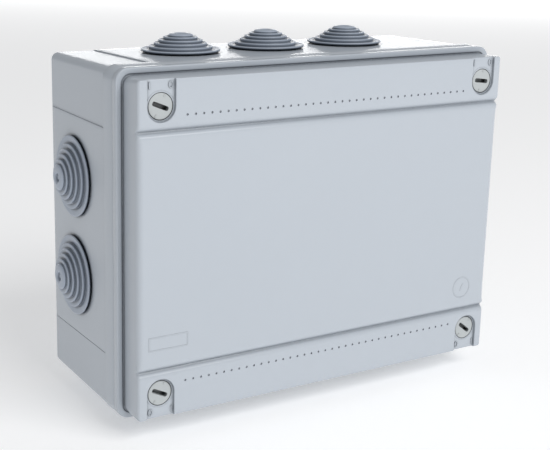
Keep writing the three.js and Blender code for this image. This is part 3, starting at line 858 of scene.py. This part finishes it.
def moulded_group():
    """Colour and roughness of a moulding: slow mottling from two sizes of noise, and painted shade
    from ambient occlusion, strong where surfaces meet and weak in wide hollows."""
    group, given, result = node_group(
        "moulded_tone_painted_shade",
        [("Colour", "NodeSocketColor", (0.6, 0.6, 0.6, 1)), ("Shade", "NodeSocketColor", (0.4, 0.4, 0.4, 1)),
         ("Mottle", "NodeSocketFloat", 0.2), ("Crevice Shade", "NodeSocketFloat", 0.3),
         ("Roughness", "NodeSocketFloat", 0.4), ("Spread", "NodeSocketFloat", 0.1)],
        [("Colour", "NodeSocketColor"), ("Roughness", "NodeSocketFloat")])
    place = group.nodes.new("ShaderNodeTexCoord").outputs["Object"]
    wide, close = group.nodes.new("ShaderNodeTexNoise"), group.nodes.new("ShaderNodeTexNoise")
    for noise, scale, detail in ((wide, 22, 3), (close, 160, 4)):
        noise.inputs["Scale"].default_value = scale
        noise.inputs["Detail"].default_value = detail
        group.links.new(place, noise.inputs["Vector"])
    mixed = maths(group, "MULTIPLY", maths(group, "ADD", wide.outputs[0], close.outputs[0]), 0.5)
    mottled = maths(group, "MULTIPLY", mixed, given.outputs["Mottle"])
    shaded = []
    # painted shade: ambient occlusion over a short and a long distance darkens the colour towards Shade where
    # surfaces meet and in wide hollows
    for distance, weight in ((0.0016, given.outputs["Crevice Shade"]), (0.014, 0.32)):
        occlusion = group.nodes.new("ShaderNodeAmbientOcclusion")
        occlusion.samples = 6
        occlusion.inputs["Distance"].default_value = distance
        hidden = maths(group, "SUBTRACT", 1.0, occlusion.outputs["AO"])
        shaded.append(maths(group, "MULTIPLY", hidden, weight))
    amount = maths(group, "MINIMUM", maths(group, "ADD", mottled, maths(group, "ADD", *shaded)), 1.0)
    blend = group.nodes.new("ShaderNodeMix")
    blend.data_type = "RGBA"
    group.links.new(amount, blend.inputs["Factor"])
    group.links.new(given.outputs["Colour"], blend.inputs["A"])
    group.links.new(given.outputs["Shade"], blend.inputs["B"])
    group.links.new(blend.outputs["Result"], result.inputs["Colour"])
    centred = maths(group, "SUBTRACT", close.outputs[0], 0.5)
    spread = maths(group, "MULTIPLY", centred, given.outputs["Spread"])
    group.links.new(maths(group, "ADD", given.outputs["Roughness"], spread), result.inputs["Roughness"])
    return group


def grain_group():
    """Height of a fine eroded mould texture and of the slight waviness of a large moulding."""
    group, given, result = node_group(
        "mould_grain",
        [("Grain Scale", "NodeSocketFloat", 2600), ("Grain", "NodeSocketFloat", 0.5),
         ("Wave Scale", "NodeSocketFloat", 30), ("Wave", "NodeSocketFloat", 0.5)],
        [("Height", "NodeSocketFloat")])
    place = group.nodes.new("ShaderNodeTexCoord").outputs["Object"]
    heights = []
    for scale, amount, detail in (("Grain Scale", "Grain", 2), ("Wave Scale", "Wave", 1)):
        noise = group.nodes.new("ShaderNodeTexNoise")
        noise.inputs["Detail"].default_value = detail
        group.links.new(given.outputs[scale], noise.inputs["Scale"])
        group.links.new(place, noise.inputs["Vector"])
        heights.append(maths(group, "MULTIPLY", noise.outputs[0], given.outputs[amount]))
    group.links.new(maths(group, "ADD", *heights), result.inputs["Height"])
    return group


MOULDED, GRAIN = moulded_group(), grain_group()


def new_material(name):
    """A material, its node tree and its main shader."""
    material = bpy.data.materials.new(name)
    material.use_nodes = True
    tree = material.node_tree
    return material, tree, next(n for n in tree.nodes if n.type == "BSDF_PRINCIPLED")


def group_in(tree, group, values):
    """Puts a shader group into a material with its own values."""
    node = tree.nodes.new("ShaderNodeGroup")
    node.node_tree = group
    for label, value in values.items():
        node.inputs[label].default_value = value
    return node


def moulding(name, colour, shade, mottle, crevice_shade, roughness, spread, grain, wave, bump):
    """A plastic or rubber: tone, painted shade and roughness from the moulded group, a bump from the grain
    group.
    Grain and wave are each a scale and an amount; bump is a strength and a distance."""
    material, tree, shader = new_material(name)
    tone = group_in(tree, MOULDED, {"Colour": (*colour, 1), "Shade": (*shade, 1), "Mottle": mottle,
                                    "Crevice Shade": crevice_shade, "Roughness": roughness, "Spread": spread})
    relief = group_in(tree, GRAIN, {"Grain Scale": grain[0], "Grain": grain[1],
                                    "Wave Scale": wave[0], "Wave": wave[1]})
    raise_up = tree.nodes.new("ShaderNodeBump")
    raise_up.inputs["Strength"].default_value = bump[0]
    raise_up.inputs["Distance"].default_value = bump[1]
    tree.links.new(relief.outputs["Height"], raise_up.inputs["Height"])
    tree.links.new(raise_up.outputs["Normal"], shader.inputs["Normal"])
    tree.links.new(tone.outputs["Colour"], shader.inputs["Base Color"])
    tree.links.new(tone.outputs["Roughness"], shader.inputs["Roughness"])
    return material


def srgb(red, green, blue):
    """Linear colour of an 8-bit one."""
    value = np.array([red, green, blue]) / 255
    return tuple(np.where(value <= 0.04045, value / 12.92, ((value + 0.055) / 1.055) ** 2.4).tolist())


# the Shade colours and crevice weights set the painted shade where surfaces meet and in hollows; the lock's
# is darkest so its slot reads deep
SHELL = moulding("light_grey_shell", srgb(194, 201, 209), srgb(50, 57, 67), 0.035, 1.1, 0.24, 0.06,
                 (2400, 0.35), (26, 0.6), (0.3, 0.00005))
RUBBER = moulding("blue_grey_rubber", srgb(176, 186, 200), srgb(40, 46, 56), 0.06, 0.8, 0.32, 0.10,
                  (1800, 0.6), (90, 0.4), (0.4, 0.00006))
LOCK = moulding("pale_lock_plastic", srgb(193, 198, 199), srgb(20, 24, 23), 0.05, 1.4, 0.34, 0.10,
                (2600, 0.4), (200, 0.3), (0.4, 0.00005))
SEAL = moulding("dark_seal_rubber", srgb(74, 78, 82), srgb(48, 50, 53), 0.3, 0.4, 0.72, 0.15,
                (1500, 0.6), (120, 0.5), (0.5, 0.0001))
CAP = moulding("cap_plastic", srgb(180, 186, 192), srgb(140, 146, 152), 0.15, 0.4, 0.42, 0.10,
               (2400, 0.4), (160, 0.3), (0.4, 0.00005))


# ---------------------------------------------------------------- pieces

make_piece("lid_moulding", [lid_skin(), *lid_marks()], SHELL, "lid", "light_grey_shell", "lid")
make_piece("box_moulding", [box_skin(), *box_fittings()], SHELL, "box", "light_grey_shell", "back_box")

for place_name, centre, direction in membrane_places():
    skin_part = lathe(membrane_profile(), 96, facing_out(centre, direction))
    make_piece(place_name.replace("cable_membrane", "stepped_membrane"), [skin_part], RUBBER, "box",
               "blue_grey_rubber", place_name, crease=50)

for lock_name, (side, level, slot_angle) in LOCKS.items():
    centre = (side * LOCK_X, level * LOCK_Z)
    bar = slab((-4.7, -61.7, -1.5), (4.7, -59.2, 1.5), slot_angle, centre)
    make_piece(f"slotted_lock_{lock_name}", [*lock_head(slot_angle, centre), bar], LOCK, f"lock_{lock_name}",
               "pale_lock_plastic", f"lid_lock_{lock_name}")

for node_name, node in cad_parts.items():
    finish = SEAL if "gasket" in node_name or "seal" in node_name else CAP if "cap" in node_name else None
    if finish:
        node.data.materials.clear()
        node.data.materials.append(finish)


# ---------------------------------------------------------------- floor, light and camera


def floor_material():
    """Matt pale paper with a very slight mottling and a faint glow, so that it stays bright."""
    material, tree, shader = new_material("pale_floor")
    noise = tree.nodes.new("ShaderNodeTexNoise")
    noise.inputs["Scale"].default_value = 3
    ramp = tree.nodes.new("ShaderNodeValToRGB")
    ramp.color_ramp.elements[0].color = (0.93, 0.93, 0.93, 1)
    ramp.color_ramp.elements[1].color = (0.96, 0.96, 0.96, 1)
    tree.links.new(noise.outputs[0], ramp.inputs[0])
    tree.links.new(ramp.outputs[0], shader.inputs["Base Color"])
    shader.inputs["Roughness"].default_value = 0.9
    shader.inputs["Specular IOR Level"].default_value = 0.1
    shader.inputs["Emission Color"].default_value = (1, 1, 1, 1)
    shader.inputs["Emission Strength"].default_value = 0.3
    return material


def make_floor(size, height):
    """A flat square grid at the given height."""
    steps = np.linspace(-size / 2, size / 2, 9)
    x, y = np.meshgrid(steps, steps)
    index = np.arange(x.size).reshape(x.shape)
    faces = np.stack([index[:-1, :-1], index[:-1, 1:], index[1:, 1:], index[1:, :-1]], -1).reshape(-1, 4)
    mesh = bpy.data.meshes.new("floor")
    points = np.stack([x, y, np.full(x.shape, height)], -1).reshape(-1, 3)
    mesh.from_pydata(points.tolist(), [], faces.tolist())
    mesh.materials.append(floor_material())
    floor = bpy.data.objects.new("floor", mesh)
    bpy.context.scene.collection.objects.link(floor)


def area_light(name, place, target, size, power):
    """A soft box light that looks at the target."""
    data = bpy.data.lights.new(name, "AREA")
    data.shape, data.size, data.size_y, data.energy = "RECTANGLE", size[0], size[1], power
    light = bpy.data.objects.new(name, data)
    light.location = place
    light.rotation_euler = (Vector(target) - Vector(place)).to_track_quat("-Z", "Y").to_euler()
    light.visible_camera = False
    bpy.context.scene.collection.objects.link(light)


def make_camera():
    """A camera in front, to the left and above, looking right and down at the box."""
    yaw, pitch, roll = (math.radians(angle) for angle in (33.23, 15.30, -1.61))
    ahead = Vector((math.sin(yaw) * math.cos(pitch), math.cos(yaw) * math.cos(pitch), -math.sin(pitch)))
    right = Vector((math.cos(yaw), -math.sin(yaw), 0))
    down = ahead.cross(right)
    image_right = math.cos(roll) * right + math.sin(roll) * down
    image_down = math.cos(roll) * down - math.sin(roll) * right
    data = bpy.data.cameras.new("camera")
    data.lens, data.sensor_width = 81.87, 36
    data.clip_start, data.clip_end = 0.01, 50
    camera = bpy.data.objects.new("camera", data)
    turn = Matrix((image_right, -image_down, -ahead)).transposed().to_4x4()
    camera.matrix_world = Matrix.Translation((-0.30355, -0.50107, 0.14291)) @ turn
    bpy.context.scene.collection.objects.link(camera)
    bpy.context.scene.camera = camera


def make_world(strength):
    """Even pale surroundings."""
    world = bpy.data.worlds.new("surroundings")
    world.use_nodes = True
    background = next(n for n in world.node_tree.nodes if n.type == "BACKGROUND")
    background.inputs["Color"].default_value = (0.97, 0.98, 1.0, 1)
    background.inputs["Strength"].default_value = strength
    bpy.context.scene.world = world


lowest = min(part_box(name)[0].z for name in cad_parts)
make_floor(40.0, lowest - 0.0005)
make_world(0.36)
area_light("front_softbox", (0.25, -1.2, 1.0), (0, -0.05, 0), (1.1, 0.8), 12.5)
area_light("back_softbox", (1.25, 1.93, 0.13), (0, 0, 0.07), (3.0, 0.42), 13)
make_camera()
bpy.context.scene.view_settings.view_transform = "Standard"
